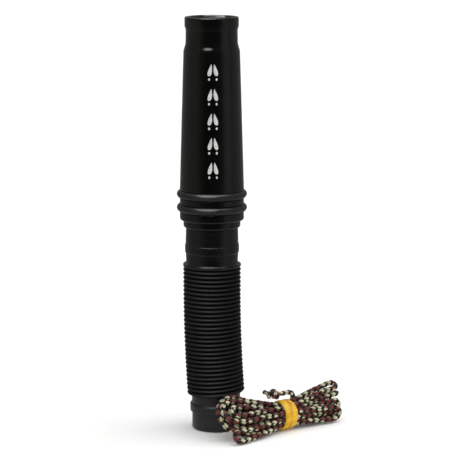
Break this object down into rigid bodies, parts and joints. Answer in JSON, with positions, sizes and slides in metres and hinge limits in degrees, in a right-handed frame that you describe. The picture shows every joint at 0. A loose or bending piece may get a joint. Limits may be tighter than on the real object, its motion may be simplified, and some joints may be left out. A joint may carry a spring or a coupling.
{
  "type": "grunt tube call",
  "caption": "Game call with a tapered barrel, rubber grip rings, a reed assembly and a pleated hose that stretches and bends, with a loose braided neck lanyard.",
  "frame": {"origin": "on the barrel's axis, at the surface that the open hose cuff stands on", "axes": "+Z along the barrel towards the mouth; +X to the side where the lanyard lies; -Y towards the front"},
  "size_m": [0.0975, 0.0667, 0.235],
  "materials": {
    "barrel_plastic": "gloss black moulded plastic",
    "ring_rubber": "black rubber with a soft sheen",
    "board_plastic": "ivory moulded plastic",
    "reed_film": "clear film with a faint blue tint",
    "wedge_cork": "natural cork",
    "hose_plastic": "satin black flexible plastic",
    "lanyard_cord": "coarse braid of cream, maroon, olive and black yarns",
    "band_rubber": "yellow rubber"
  },
  "bodies": {
    "hose_foot": {"hose_lower_cuff": "hose_plastic", "hose_lower_pleats": "hose_plastic"},
    "lower_ring": {"hose_lower_ring": "hose_plastic", "hose_middle_pleats": "hose_plastic"},
    "upper_ring": {"hose_upper_ring": "hose_plastic", "hose_upper_pleats": "hose_plastic"},
    "reed_assembly": {"hose_upper_cuff": "hose_plastic", "reed_holder": "barrel_plastic", "holder_seal_ring": "ring_rubber", "tone_board": "board_plastic", "reed_blade": "reed_film", "reed_wedge": "wedge_cork"},
    "tuner": {"tuning_ring": "ring_rubber"},
    "barrel_assembly": {"barrel": "barrel_plastic", "upper_grip_ring": "ring_rubber", "lower_grip_ring": "ring_rubber"},
    "lanyard": {"lanyard_hank": "lanyard_cord", "lanyard_free_end": "lanyard_cord", "hank_rubber_band": "band_rubber"}
  },
  "joints": [
    {"name": "hose_stretch", "type": "slide", "parent": "hose_foot", "child": "lower_ring", "axis": [0, 0, 1], "range_m": [0, 0.028], "stiffness_N_per_m": 60, "deforming": ["hose_lower_pleats"]},
    {"name": "hose_bend_front_back", "type": "hinge", "parent": "lower_ring", "child": "upper_ring", "pos_m": [0.0006, 0, 0.06181], "axis": [1, 0, 0], "range_deg": [-18, 18], "stiffness_Nm_per_rad": 0.6, "deforming": ["hose_middle_pleats"]},
    {"name": "hose_bend_side", "type": "hinge", "parent": "upper_ring", "child": "reed_assembly", "pos_m": [0, 0, 0.08368], "axis": [0, 1, 0], "range_deg": [-18, 18], "stiffness_Nm_per_rad": 0.6, "deforming": ["hose_upper_pleats"]},
    {"name": "barrel_pull", "type": "slide", "parent": "reed_assembly", "child": "barrel_assembly", "axis": [0, 0, 1], "range_m": [0, 0.066]},
    {"name": "tuning_slide", "type": "slide", "parent": "reed_assembly", "child": "tuner", "axis": [0, 0, 1], "range_m": [-0.005, 0.012]},
    {"name": "lanyard_slide", "type": "slide", "parent": "hose_foot", "child": "lanyard", "axis": [1, 0, 0], "range_m": [0, 0.1]}
  ]
}
